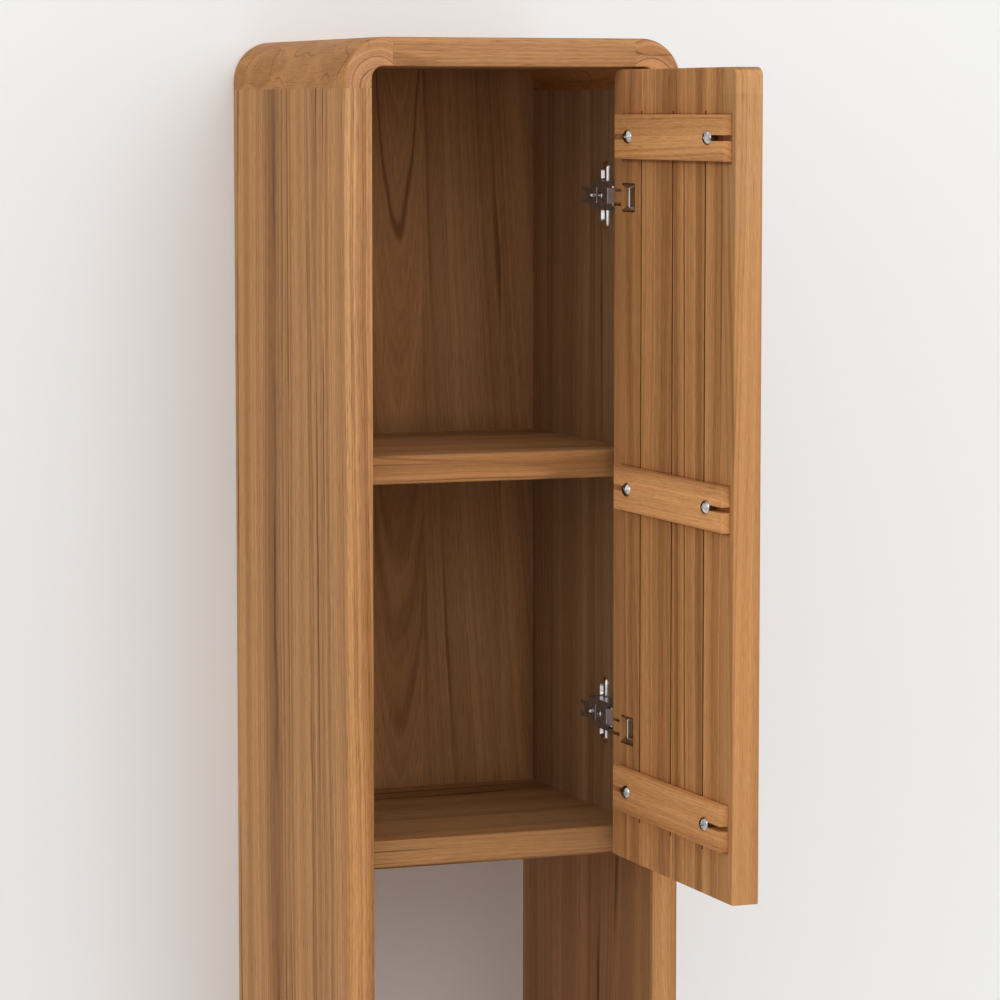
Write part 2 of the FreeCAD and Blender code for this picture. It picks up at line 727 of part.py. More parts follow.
cup_screw_holes = fuse("cup_screw_holes", [
    rod(f"cup_screw_hole_{n}", "y", "cup_shank + screw_clear",
        (f"{CUP_SEAT} - {cup_screw_length} - {PAST}", f"{CUP_SEAT} + {PAST}"), x=x, z=z)
    for n, (x, y, z) in enumerate(cup_screw_spots, start=1)
])

pins, rivets, cross_pins, door_cuts = [], [], [], []
for name, level in HINGE_LEVELS.items():
    neck = about(level, NECK_HALF)
    bore_span = about(level, f"{NECK_HALF} + {PAST}")
    pin_bore = rod(f"{name}_pin_bore", "z", "pin_radius + pin_clear", bore_span, x=PIN_X, y=PIN_Y)
    rivet_bore = rod(f"{name}_rivet_bore", "z", "rivet_radius + pin_clear", bore_span, x=PIN_X, y=RIVET_Y)
    pins.append(rod(f"{name}_hinge_pin", "z", "pin_radius", neck, x=PIN_X, y=PIN_Y))

    # Butterfly plate: crowned wings, and a base with a rail on which the arm sits
    label = f"{name}_hinge_plate"
    wings = add("PartDesign::Body", label + "_wings")
    pad(wings, rectangle(wings, "YZ_Plane", "plate_width", "plate_height"), "plate_thick")
    round_edges(wings, "ends", "plate_width * wing_end_share", lambda edge: level_along(edge, "X"))
    round_edges(wings, "crown", "plate_crown", lambda edge: lies_at(edge, "X", 0))
    place(wings, PLATE_FACE, f"{PLATE_Y} - plate_width / 2", f"{level} - plate_height / 2")
    plate = [
        wings,
        box(label + "_base", (BASE_FACE, CLEAR_HALF), about(ARM_Y, "plate_run / 2"),
            about(level, "plate_base_half")),
        box(label + "_rail", (WEB_IN, BASE_FACE), about(ARM_Y, "rail_run / 2"), about(level, "rail_half")),
    ]
    nodes[label] = cut(label, fuse(label + "_blank", plate), [plate_screw_holes, arm_screw_holes])

    # Channel arm: a narrow neck whose ears hold the pin, a wide ribbed body over the rail, and a forked tail
    label = f"{name}_hinge_arm"
    web = (WEB_OUT, WEB_IN)
    ear_wide = about(PIN_X, "ear_radius")
    arm = [
        box(label + "_neck", web, (CLEAR_OF_DOOR, ARM_FRONT), neck),
        box(label + "_body", web, (ARM_FRONT, ARM_BACK), about(level, "arm_half")),
        box(label + "_tail", web, (ARM_BACK, TAIL_END), about(level, "tail_half")),
        rod(label + "_front_rib", "z", "front_rib", neck, x=WEB_OUT, y=f"{ARM_FRONT} + front_rib"),
        rod(label + "_middle_rib", "z", "middle_rib", neck, x=WEB_OUT, y=ARM_SCREWS),
    ]
    for low, high, body_low, body_high in (
        (f"{level} + {NECK_HALF} - ear_thick", f"{level} + {NECK_HALF}",
         f"{level} + arm_half - arm_sheet", f"{level} + arm_half"),
        (f"{level} - {NECK_HALF}", f"{level} - {NECK_HALF} + ear_thick",
         f"{level} - arm_half", f"{level} - arm_half + arm_sheet"),
    ):
        count = len(arm)
        arm.append(box(f"{label}_ear_{count}", ear_wide, (PIN_Y, ARM_FRONT), (low, high)))
        arm.append(rod(f"{label}_eye_{count}", "z", "ear_radius", (low, high), x=PIN_X, y=PIN_Y))
        arm.append(box(f"{label}_flange_{count}", (WEB_OUT, f"{PLATE_FACE} - arm_air"),
                       (ARM_FRONT, ARM_BACK), (body_low, body_high)))
    fork = box(label + "_fork", (f"{WEB_OUT} - {PAST}", f"{WEB_IN} + {PAST}"),
               (f"{TAIL_END} - fork_run", f"{TAIL_END} + {PAST}"), about(level, "fork_half"))
    nodes[label] = cut(label, fuse(label + "_blank", arm), [pin_bore, rivet_bore, fork, arm_screw_holes])

    # Rivet across the neck, with a round head above and below
    shank = rod(f"{name}_rivet_shank", "z", "rivet_radius", neck, x=PIN_X, y=RIVET_Y)
    heads = [
        rod(f"{name}_rivet_top", "z", "rivet_head",
            (f"{level} + {NECK_HALF}", f"{level} + {NECK_HALF} + rivet_rise"), x=PIN_X, y=RIVET_Y),
        rod(f"{name}_rivet_foot", "z", "rivet_head",
            (f"{level} - {NECK_HALF} - rivet_rise", f"{level} - {NECK_HALF}"), x=PIN_X, y=RIVET_Y),
    ]
    rivets.append(fuse(f"{name}_rivet", [shank] + heads))

    # Leaf: a tongue in the door's edge whose barrel turns between the ears
    label = f"{name}_hinge_leaf"
    leaf_tall = about(level, "leaf_half")
    leaf = [
        box(label + "_tongue", (CUP_LEFT, PIN_X), about(PIN_Y, "leaf_thick / 2"), leaf_tall),
        rod(label + "_barrel", "z", "barrel_radius", leaf_tall, x=PIN_X, y=PIN_Y),
    ]
    nodes[label] = swing(cut(label, fuse(label + "_blank", leaf), [pin_bore, cup_screw_holes]))

    # Cup: a block in the door's inner face, screwed down on the leaf. Its slot is open towards the hinge,
    # has a flared mouth, and a pin crosses it
    label = f"{name}_hinge_cup"
    cup_tall = about(level, "cup_height / 2")
    tub = box(label + "_blank", (CUP_LEFT, CUP_RIGHT), (CUP_FLOOR, DOOR_BACK), cup_tall)
    slot_ends = (f"{CUP_LEFT} + cup_sheet", f"{CUP_RIGHT} + {PAST}")
    hollow = box(label + "_hollow", slot_ends, (CUP_SEAT, f"{DOOR_BACK} + {PAST}"),
                 about(level, "cup_slot / 2"))
    mouth = add("Part::Wedge", label + "_mouth")
    bind(mouth, dict(zip(("Xmin", "Xmax"), slot_ends)))
    bind(mouth, dict(zip(("X2min", "X2max"), slot_ends)))
    bind(mouth, dict(zip(("Zmin", "Zmax"), about(level, "cup_slot / 2"))))
    bind(mouth, dict(zip(("Z2min", "Z2max"), about(level, "cup_height / 2 - cup_sheet"))))
    bind(mouth, {"Ymin": f"{DOOR_BACK} - cup_mouth", "Ymax": DOOR_BACK})
    cross_bore = rod(f"{name}_cross_bore", "z", "cross_pin_radius + pin_clear",
                     about(level, f"cup_height / 2 + {PAST}"), x=CROSS_PIN_X, y=CROSS_PIN_Y)
    nodes[label] = swing(cut(label, tub, [hollow, mouth, cross_bore, cup_screw_holes]))
    cross_pins.append(rod(f"{name}_cross_pin", "z", "cross_pin_radius", cup_tall,
                          x=CROSS_PIN_X, y=CROSS_PIN_Y))

    # Room in the door for the cup, the leaf, its barrel and the sweep of the two ears
    leaf_room = about(level, "leaf_half + cup_clear")
    edge = f"{DOOR_EDGE} + {PAST}"
    door_cuts += [
        box(f"{name}_cup_room", (f"{CUP_LEFT} - cup_clear", f"{CUP_RIGHT} + cup_clear"),
            (CUP_FLOOR, f"{DOOR_BACK} + {PAST}"), about(level, "cup_height / 2 + cup_clear")),
        box(f"{name}_leaf_room", (f"{CUP_LEFT} - cup_clear", edge),
            about(PIN_Y, "leaf_thick / 2 + cup_clear"), leaf_room),
        box(f"{name}_barrel_room", (f"{PIN_X} - barrel_radius - cup_clear", edge),
            about(PIN_Y, "barrel_radius + cup_clear"), leaf_room),
    ]
    ear_far = f"({NECK_HALF} + ear_clear)"
    for number, (low, high) in enumerate((
        (f"{level} + leaf_half", f"{level} + {ear_far}"),
        (f"{level} - {ear_far}", f"{level} - leaf_half"),
    )):
        door_cuts.append(box(
            f"{name}_ear_slit_{number}",
            (f"{PIN_X} - ear_radius - slit_clear", edge),
            (f"{PIN_Y} - ear_radius - slit_clear", f"{DOOR_BACK} + {PAST}"),
            (low, high),
        ))
nodes["hinge_pins"] = group("hinge_pins", pins)
nodes["arm_rivets"] = group("arm_rivets", rivets)
nodes["cup_cross_pins"] = swing(group("cup_cross_pins", cross_pins))

# Door board: its upper corners follow the ring's inner corners, and three kerfs relieve its inner face
door_body = add("PartDesign::Body", "door_blank")
pad(
    door_body,
    rectangle(door_body, "XZ_Plane", f"2 * {DOOR_EDGE}", f"{DOOR_TOP} - {DOOR_BOTTOM}"),
    "door_board",
)
door_height = door_body.Tip.Shape.BoundBox.ZMax
round_edges(
    door_body, "upper_corners", "inner_radius - door_gap",
    lambda edge: lies_at(edge, "Z", door_height) and level_along(edge, "Y"),
)
round_edges(door_body, "outer_edges", "door_front_round", lambda edge: lies_at(edge, "Y", -sheet.door_board))
round_edges(door_body, "inner_edges", "door_back_round", lambda edge: lies_at(edge, "Y", 0))
place(door_body, f"-{DOOR_EDGE}", DOOR_BACK, DOOR_BOTTOM)
kerf_span = (
    f"{BATTEN_LEVELS['lower']} - batten_height / 2 - kerf_tail",
    f"{BATTEN_LEVELS['upper']} + batten_height / 2 + kerf_overrun",
)
for number, middle in enumerate(("-kerf_pitch", "0", "kerf_pitch")):
    door_cuts.append(box(f"kerf_{number}", about(middle, "kerf_width / 2"),
                         (f"{DOOR_BACK} - kerf_depth", f"{DOOR_BACK} + {PAST}"), kerf_span))
for number, (x, y, z) in enumerate(batten_places):
    door_cuts.append(rod(f"batten_screw_hole_{number}", "y", "wood_shank + screw_clear",
                         (f"{y} - batten_screw_length - screw_clear", f"{DOOR_BACK} + {PAST}"), x=x, z=z))
nodes["door_panel"] = swing(cut("door_panel", door_body, door_cuts))

doc.recompute()
for thing in doc.Objects:
    if {"Invalid", "Error"} & set(thing.State):
        raise RuntimeError(f"{thing.Label} failed: {thing.State}")
for label, thing in nodes.items():
    if thing.Shape.isNull() or not thing.Shape.isValid() or not thing.Shape.Solids:
        raise RuntimeError(f"{label} has no sound shape")

os.makedirs("parts", exist_ok=True)
for label, thing in sorted(nodes.items()):
    thing.Shape.exportStep(f"parts/{label}.step")
    print(f"{label}: {len(thing.Shape.Solids)} solids, {thing.Shape.Volume / 1000:.2f} cm3")
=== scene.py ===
# %% [markdown]
# # A tall teak wall cabinet
#
# The cabinet comes in as a finished CAD model: boards, corner blocks, a door and its hinges, each a separate
# object in metres. This lesson gives each piece its finish, hangs the cabinet on a pale wall and looks at it
# as the photograph does. X points right, Y into the wall and Z up. The origin lies on the wall, near the
# cabinet's top.

# %% Load the cabinet
import math

import bpy
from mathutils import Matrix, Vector


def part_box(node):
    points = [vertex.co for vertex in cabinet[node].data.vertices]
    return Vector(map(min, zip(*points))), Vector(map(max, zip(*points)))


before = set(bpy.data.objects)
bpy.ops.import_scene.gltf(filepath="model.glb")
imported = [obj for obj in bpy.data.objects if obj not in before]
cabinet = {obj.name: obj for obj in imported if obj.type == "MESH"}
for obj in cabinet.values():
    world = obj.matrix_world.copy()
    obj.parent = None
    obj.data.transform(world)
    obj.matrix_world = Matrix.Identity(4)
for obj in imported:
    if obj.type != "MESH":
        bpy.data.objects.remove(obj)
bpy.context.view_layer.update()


def rounded(numbers):
    """Numbers short enough to print."""
    return [round(number, 3) for number in numbers]


# %% [markdown]
# ## The camera
#
# A long lens stands about 3.7 metres away, left of the cabinet and level with its top, and looks a little to
# the right and down. Its place and lens were worked out from the cabinet's straight edges, so the numbers are
# used as they are. A camera looks along its own -Z, so it is first tipped up to the horizon, then down by
# its dip, and last turned to the right.

# %% Place the camera
CAMERA_PLACE = Vector((-1.2201, -3.4461, 0.0386))
CAMERA_TURN = math.radians(21.006)
CAMERA_DIP = math.radians(5.493)
LENS_MM = 145.29
SENSOR_MM = 36
FARTHEST = 100  # metres, past the ends of the wall and the floor

camera_data = bpy.data.cameras.new("photo_camera")
camera_data.lens = LENS_MM
camera_data.sensor_width = SENSOR_MM
camera_data.clip_end = FARTHEST
camera = bpy.data.objects.new("photo_camera", camera_data)
camera.location = CAMERA_PLACE
camera.rotation_euler = (math.pi / 2 - CAMERA_DIP, 0, -CAMERA_TURN)
bpy.context.scene.collection.objects.link(camera)
bpy.context.scene.camera = camera
bpy.context.scene.view_settings.view_transform = "Standard"
print("camera at", rounded(camera.location), "with a lens of", LENS_MM, "mm")


# %% [markdown]
# ## Helpers for node materials
#
# Every finish below is a small network of nodes. A few helpers keep the networks readable: one joins an
# output, or a plain number, to an input, and the others add a calculation, a noise, a smooth rise or a blend
# of two colours in one line.

# %% Helpers that join and calculate
def join(tree, value, socket):
    """Link an output to an input, or set the input to a number or colour."""
    if isinstance(value, bpy.types.NodeSocket):
        tree.links.new(value, socket)
    else:
        socket.default_value = value


def maths(tree, operation, *values):
    """One Math node, fed with outputs or numbers."""
    step = tree.nodes.new("ShaderNodeMath")
    step.operation = operation
    for socket, value in zip(step.inputs, values):
        join(tree, value, socket)
    return step.outputs[0]


def vector_maths(tree, operation, *values):
    """One Vector Math node, fed with outputs or triples of numbers."""
    step = tree.nodes.new("ShaderNodeVectorMath")
    step.operation = operation
    for socket, value in zip(step.inputs, values):
        join(tree, value, socket)
    return step.outputs[0]


print("helpers to join and calculate:", join.__name__, maths.__name__, vector_maths.__name__)


# %% Helpers for noise, rises and colours
def noise(tree, place, scale, detail=2.0, roughness=0.5, flat=False):
    """A noise in space, or along one line if flat."""
    step = tree.nodes.new("ShaderNodeTexNoise")
    step.noise_dimensions = "1D" if flat else "3D"
    join(tree, place, step.inputs["W" if flat else "Vector"])
    step.inputs["Scale"].default_value = scale
    step.inputs["Detail"].default_value = detail
    step.inputs["Roughness"].default_value = roughness
    return step.outputs[0]


def ramp(tree, value, low, high, to_low=0.0, to_high=1.0):
    """A smooth rise from one value to another while the input goes from low to high."""
    step = tree.nodes.new("ShaderNodeMapRange")
    step.interpolation_type = "SMOOTHSTEP"
    for name, number in (("From Min", low), ("From Max", high), ("To Min", to_low), ("To Max", to_high)):
        step.inputs[name].default_value = number
    join(tree, value, step.inputs["Value"])
    return step.outputs[0]


def blend_colours(tree, amount, first, second, way="MIX"):
    """One colour from two. A Mix node has its colour sockets after those for numbers and vectors."""
    step = tree.nodes.new("ShaderNodeMix")
    step.data_type = "RGBA"
    step.blend_type = way
    join(tree, amount, step.inputs[0])
    join(tree, first, step.inputs[6])
    join(tree, second, step.inputs[7])
    return step.outputs[2]


def new_finish(name):
    """A material with a bare Principled shader, and its node tree."""
    finish = bpy.data.materials.new(name)
    finish.use_nodes = True
    shader = finish.node_tree.nodes["Principled BSDF"]
    return finish, finish.node_tree, shader


print("helpers for patterns:", noise.__name__, ramp.__name__, blend_colours.__name__, new_finish.__name__)


# %% [markdown]
# ## The wall, the floor and the light
#
# The photograph shows an off-white wall in soft, even light that comes from the front. The wall darkens
# gently beside the cabinet, and the inside of the cabinet is dim. So the room is a bright world, brighter in
# front than behind, with one large soft lamp in front.
# The wall only shows and catches shadows: it is left out of the light that reaches the cabinet, and its rear
# face is clear, so the cabinet can also be looked at from behind. The floor lies well below, because the
# cabinet hangs.

# %% Wall and floor
WALL_GAP = 0.0015
FLOOR_LEVEL = -1.5
ROOM_SIZE = 40

bpy.ops.object.select_all(action="DESELECT")
bpy.ops.mesh.primitive_plane_add(size=ROOM_SIZE, location=(0, WALL_GAP, 0), rotation=(math.pi / 2, 0, 0))
wall = bpy.context.object
wall.name = "wall"
bpy.ops.mesh.primitive_plane_add(size=ROOM_SIZE, location=(0, 0, FLOOR_LEVEL))
floor = bpy.context.object
floor.name = "floor"
print("wall at y =", WALL_GAP, "and floor at z =", FLOOR_LEVEL)

# %% Wall and floor paint
WALL_COLOUR = (0.920, 0.936, 0.946, 1)
FLOOR_COLOUR = (0.82, 0.81, 0.80, 1)

wall_paint, tree, shader = new_finish("wall_paint")
shader.inputs["Base Color"].default_value = WALL_COLOUR
shader.inputs["Roughness"].default_value = 0.9
shader.inputs["Specular IOR Level"].default_value = 0.1
rear = tree.nodes.new("ShaderNodeNewGeometry").outputs["Backfacing"]
clear = tree.nodes.new("ShaderNodeBsdfTransparent")
either = tree.nodes.new("ShaderNodeMixShader")
join(tree, rear, either.inputs[0])
join(tree, shader.outputs[0], either.inputs[1])
join(tree, clear.outputs[0], either.inputs[2])
join(tree, either.outputs[0], tree.nodes["Material Output"].inputs["Surface"])
wall.data.materials.append(wall_paint)
wall.visible_diffuse = False
wall.visible_shadow = False

floor_paint, tree, shader = new_finish("floor_paint")
shader.inputs["Base Color"].default_value = FLOOR_COLOUR
shader.inputs["Roughness"].default_value = 0.8
floor.data.materials.append(floor_paint)
print("paints:", wall_paint.name, "and", floor_paint.name)

# %% Room light
FRONT_LIGHT = 0.98
REAR_LIGHT = 0.50
PASSAGE = 0.3  # the front light passes into the rear light between headings of -0.3 and 0.3
BACKDROP = (0.93, 0.925, 0.92, 1)

room = bpy.data.worlds.new("bright_room")
room.use_nodes = True
bpy.context.scene.world = room
tree = room.node_tree
ambient = tree.nodes["Background"]
ambient.inputs["Color"].default_value = (1.0, 1.0, 1.0, 1)
heading = tree.nodes.new("ShaderNodeSeparateXYZ")
join(tree, tree.nodes.new("ShaderNodeTexCoord").outputs["Generated"], heading.inputs[0])
light = ramp(tree, heading.outputs[1], -PASSAGE, PASSAGE, FRONT_LIGHT, REAR_LIGHT)
join(tree, light, ambient.inputs["Strength"])
backdrop = tree.nodes.new("ShaderNodeBackground")
backdrop.inputs["Color"].default_value = BACKDROP
rays = tree.nodes.new("ShaderNodeLightPath")
seen = maths(tree, "MAXIMUM", rays.outputs["Is Camera Ray"], rays.outputs["Is Transmission Ray"])
seen = maths(tree, "MAXIMUM", seen, rays.outputs["Is Glossy Ray"])
either = tree.nodes.new("ShaderNodeMixShader")
join(tree, seen, either.inputs[0])
join(tree, ambient.outputs[0], either.inputs[1])
join(tree, backdrop.outputs[0], either.inputs[2])
join(tree, either.outputs[0], tree.nodes["World Output"].inputs["Surface"])
print("room light from", FRONT_LIGHT, "in front to", REAR_LIGHT, "behind")

# %% Lamp
LAMP_PLACE = Vector((0.4, -3.4, 1.2))
LAMP_AIM = Vector((0, 0, -0.3))
LAMP_ACROSS = 2.0
LAMP_WATTS = 24

lamp_data = bpy.data.lights.new("soft_lamp", "AREA")
lamp_data.shape = "DISK"
lamp_data.size = LAMP_ACROSS
lamp_data.energy = LAMP_WATTS
lamp_data.color = (1.0, 0.97, 0.93)
lamp = bpy.data.objects.new("soft_lamp", lamp_data)
lamp.location = LAMP_PLACE
lamp.rotation_euler = (LAMP_AIM - lamp.location).to_track_quat("-Z", "Y").to_euler()
bpy.context.scene.collection.objects.link(lamp)
print("a lamp of", lamp_data.energy, "W at", rounded(lamp.location))


# %% [markdown]
# ## Teak
#
# Teak is a golden brown wood with darker growth rings. A board shows the rings as stripes or pointed arches
# on its faces and as arcs on its ends, because they are shells around the tree's middle. So the figure is
# worked out in space: the distance from a slightly wandering line, the pith, is fed to a noise along one
# line, which gives uneven rings on every face at once. The boards are glued up from staves, and each stave
# has its own pith, tone and drift. Thin dark lines, fine fibres and short dark pores are added to that.
#
# A node group does this once for all pieces. It works in the wood's own directions: across the staves,
# through the thickness and along the grain.

# %% Teak figure: what goes in and what comes out
FIGURE_TAKES = (
    ("Place", "Vector"), ("Stave", "Float"), ("Lip", "Float"), ("Seed", "Float"), ("Pith", "Vector"),
    ("Waver", "Vector"), ("Tone", "Float"), ("Contrast", "Float"), ("Lines", "Float"), ("Veins", "Float"),
    ("Ring", "Float"),
)
FIGURE_GIVES = ("Colour", "Color"), ("Roughness", "Float"), ("Normal", "Vector")

teak = bpy.data.node_groups.new("teak_figure", "ShaderNodeTree")
for socket_name, kind in FIGURE_TAKES:
    teak.interface.new_socket(socket_name, in_out="INPUT", socket_type=f"NodeSocket{kind}")
for socket_name, kind in FIGURE_GIVES:
    teak.interface.new_socket(socket_name, in_out="OUTPUT", socket_type=f"NodeSocket{kind}")
given = teak.nodes.new("NodeGroupInput").outputs
made = teak.nodes.new("NodeGroupOutput").inputs
print("the figure takes", len(FIGURE_TAKES), "values and gives", len(FIGURE_GIVES))

# %% Teak figure: staves
LIP_NUMBERS = 57.0  # added to a stave's number in the lips, so that these draw other random numbers
FAR_APART = (7.3, 5.1, 11.7)  # metres by which the staves' patterns may lie apart

parts = teak.nodes.new("ShaderNodeSeparateXYZ")
join(teak, given["Place"], parts.inputs[0])
across, through, along = parts.outputs

# which stave a point is in, and three random numbers for it
stave = maths(teak, "FLOOR", maths(teak, "DIVIDE", across, given["Stave"]))
middle = maths(teak, "MULTIPLY", maths(teak, "ADD", stave, 0.5), given["Stave"])
lip = maths(teak, "GREATER_THAN", maths(teak, "ABSOLUTE", across), given["Lip"])
number = maths(teak, "ADD", stave, maths(teak, "MULTIPLY", lip, LIP_NUMBERS))
tag = teak.nodes.new("ShaderNodeCombineXYZ")
join(teak, number, tag.inputs[0])
join(teak, given["Seed"], tag.inputs[1])
dice = teak.nodes.new("ShaderNodeTexWhiteNoise")
dice.noise_dimensions = "2D"
join(teak, tag.outputs[0], dice.inputs["Vector"])
throw = teak.nodes.new("ShaderNodeSeparateColor")
join(teak, dice.outputs["Color"], throw.inputs[0])
one, two, three = throw.outputs
shift = vector_maths(teak, "MULTIPLY", dice.outputs["Color"], FAR_APART)
own_place = vector_maths(teak, "ADD", given["Place"], shift)
print("staves use", len(teak.nodes), "nodes")

# %% Teak figure: rings
WANDER = 0.030  # metres that the pith strays
RIPPLE = 0.0022  # metres of finer waves in the rings
RIPPLE_SCALE = (70, 70, 12)
SIDE_SPREAD, DEEP_SPREAD = 0.24, 0.06  # metres that the staves' piths lie apart
TILT_SPREAD = 0.02  # and how much their slopes differ


def centred(tree, value, size):
    """A noise from -size / 2 to size / 2."""
    return maths(tree, "MULTIPLY", maths(tree, "SUBTRACT", value, 0.5), size)


def stretched_noise(scale, *detail):
    """A noise of the stave's own, with a scale for each direction of the grain."""
    place = vector_maths(teak, "MULTIPLY", own_place, scale)
    return noise(teak, place, 1.0, *detail)


# the first stave has its pith just where it is given, and the others have theirs somewhere near
loose = maths(teak, "MINIMUM", maths(teak, "ABSOLUTE", stave), 1.0)
pith = teak.nodes.new("ShaderNodeSeparateXYZ")
join(teak, given["Pith"], pith.inputs[0])
wander = centred(teak, stretched_noise(given["Waver"], 2.0), WANDER)
ripple = centred(teak, stretched_noise(RIPPLE_SCALE, 1.0), RIPPLE)
side = maths(teak, "ADD", maths(teak, "SUBTRACT", across, middle), pith.outputs[0])
side = maths(teak, "ADD", side, maths(teak, "MULTIPLY", centred(teak, one, SIDE_SPREAD), loose))
own_tilt = maths(teak, "MULTIPLY", centred(teak, three, TILT_SPREAD), loose)
tilt = maths(teak, "ADD", pith.outputs[2], own_tilt)
deep = maths(teak, "ADD", through, pith.outputs[1])
deep = maths(teak, "ADD", deep, maths(teak, "MULTIPLY", along, tilt))
deep = maths(teak, "ADD", deep, maths(teak, "MULTIPLY", maths(teak, "MULTIPLY", two, DEEP_SPREAD), loose))
squares = maths(teak, "ADD", maths(teak, "POWER", side, 2.0), maths(teak, "POWER", deep, 2.0))
true_radius = maths(teak, "SQRT", squares)
radius = maths(teak, "ADD", true_radius, wander)
radius = maths(teak, "ADD", radius, maths(teak, "ADD", ripple, three))
print("rings bring it to", len(teak.nodes), "nodes")

# %% Teak figure: bands and dark lines
BANDS, STRIPES, THIN_LINES = 34.0, 470.0, 190.0  # scales of the noise along the radius
STRIPES_FROM, LINES_FROM = 1.9, 3.7  # each kind reads another stretch of that noise
STRENGTH_SCALE = (30, 30, 4)
LINE_EDGE, LINES_SHOW = (0.64, 0.72), (0.35, 0.70)
VEIN_SCALE, VEIN_STEP, VEIN_EDGE, VEINS_SHOW = 1.6, 0.075, (0.002, 0.009), (0.25, 0.55)
LATE_RING_EDGE, LATE_RING_SHADE = (0.0001, 0.0008), 0.75
LIP_CALM = 0.5

bands = noise(teak, radius, BANDS, 6.0, 0.72, flat=True)
stripes = noise(teak, maths(teak, "ADD", radius, STRIPES_FROM), STRIPES, 2.0, 0.75, flat=True)
lines = noise(teak, maths(teak, "ADD", radius, LINES_FROM), THIN_LINES, 1.0, flat=True)
lines = ramp(teak, lines, *LINE_EDGE)
strength = stretched_noise(STRENGTH_SCALE, 1.0)
lines = maths(teak, "MULTIPLY", lines, ramp(teak, strength, *LINES_SHOW))
lines = maths(teak, "MULTIPLY", lines, given["Lines"])
# on a flat-sawn face a few rings come to the surface as thin dark lines that wander over it
surface = noise(teak, vector_maths(teak, "MULTIPLY", own_place, given["Waver"]), VEIN_SCALE, 1.0, 0.4)
veins = ramp(teak, maths(teak, "PINGPONG", surface, VEIN_STEP), *VEIN_EDGE, 1.0, 0.0)
veins = maths(teak, "MULTIPLY", veins, ramp(teak, strength, *VEINS_SHOW))
lines = maths(teak, "MAXIMUM", lines, maths(teak, "MULTIPLY", veins, given["Veins"]))
# and in the first stave one late ring may be darker than all the others
from_ring = maths(teak, "SUBTRACT", maths(teak, "ADD", true_radius, ripple), given["Ring"])
late_ring = ramp(teak, maths(teak, "ABSOLUTE", from_ring), *LATE_RING_EDGE, 1.0, 0.0)
late_ring = maths(teak, "SUBTRACT", late_ring, loose)
lines = maths(teak, "MAXIMUM", lines, maths(teak, "MULTIPLY", late_ring, LATE_RING_SHADE))
# the door's two long edges are plainer than its face
calm = maths(teak, "SUBTRACT", 1.0, maths(teak, "MULTIPLY", lip, LIP_CALM))
lines = maths(teak, "MULTIPLY", lines, calm)
contrast = maths(teak, "MULTIPLY", given["Contrast"], calm)
print("bands and lines bring it to", len(teak.nodes), "nodes")

# %% Teak figure: fibres, pores and tone
FIBRE_SCALE, PORE_SCALE, DRIFT_SCALE = (900, 900, 80), (1300, 1300, 38), (12, 12, 3)
STAVE_TONES, DRIFT_TONES, FIBRE_TONES, STRIPE_TONES = 0.14, 0.34, 0.78, 0.66
PORE_EDGE = 0.60, 0.72
PLAIN, LIVELY = (0.0, 0.3), (1.2, 1.0)  # a contrast, and how strongly the fibres then show

fibres = stretched_noise(FIBRE_SCALE, 3.0, 0.65)
pores = ramp(teak, stretched_noise(PORE_SCALE, 1.0), *PORE_EDGE)
drift = stretched_noise(DRIFT_SCALE, 3.0)
fibre_strength = ramp(teak, contrast, PLAIN[0], LIVELY[0], PLAIN[1], LIVELY[1])
tone = maths(teak, "ADD", centred(teak, three, STAVE_TONES), centred(teak, drift, DRIFT_TONES))
tone = maths(teak, "ADD", tone, maths(teak, "MULTIPLY", centred(teak, fibres, FIBRE_TONES), fibre_strength))
tone = maths(teak, "ADD", tone, maths(teak, "MULTIPLY", centred(teak, stripes, STRIPE_TONES), contrast))
tone = maths(teak, "MULTIPLY", maths(teak, "ADD", tone, 1.0), given["Tone"])
print("fibres, pores and tone bring it to", len(teak.nodes), "nodes")

# %% Teak figure: colour
LIGHT_TEAK = (0.620, 0.308, 0.121, 1)
DARK_TEAK = (0.335, 0.150, 0.054, 1)
ROSY_TEAK = (0.500, 0.255, 0.118, 1)
RING_LINE = (0.44, 0.37, 0.30, 1)
PORE = (0.62, 0.56, 0.50, 1)
PORE_SHADE = 0.6
BAND_EDGE, ROSY_DRIFT, ROSY_STAVES, MOST_ROSY = (0.28, 0.72), (0.42, 0.64), (0.5, 1.0), 0.7

shading = maths(teak, "SUBTRACT", ramp(teak, bands, *BAND_EDGE), 0.5)
shading = maths(teak, "MULTIPLY", shading, contrast)
colour = blend_colours(teak, maths(teak, "ADD", shading, 0.5), LIGHT_TEAK, DARK_TEAK)
rosy_stave = ramp(teak, two, *ROSY_STAVES, 0.0, MOST_ROSY)
rosy = maths(teak, "MULTIPLY", ramp(teak, drift, *ROSY_DRIFT), rosy_stave)
colour = blend_colours(teak, rosy, colour, ROSY_TEAK)
grey = teak.nodes.new("ShaderNodeCombineColor")
for socket in grey.inputs[:3]:
    join(teak, tone, socket)
colour = blend_colours(teak, 1.0, colour, grey.outputs[0], "MULTIPLY")
colour = blend_colours(teak, lines, colour, RING_LINE, "MULTIPLY")
pore_strength = maths(teak, "MULTIPLY", pores, maths(teak, "MULTIPLY", contrast, PORE_SHADE))
colour = blend_colours(teak, pore_strength, colour, PORE, "MULTIPLY")
join(teak, colour, made["Colour"])
print("colour brings it to", len(teak.nodes), "nodes")

# %% Teak figure: gloss and relief
SATIN, BAND_HAZE, PORE_HAZE = 0.46, 0.12, 0.16
FIBRE_RELIEF = 0.6
RELIEF_METRES = 0.0003

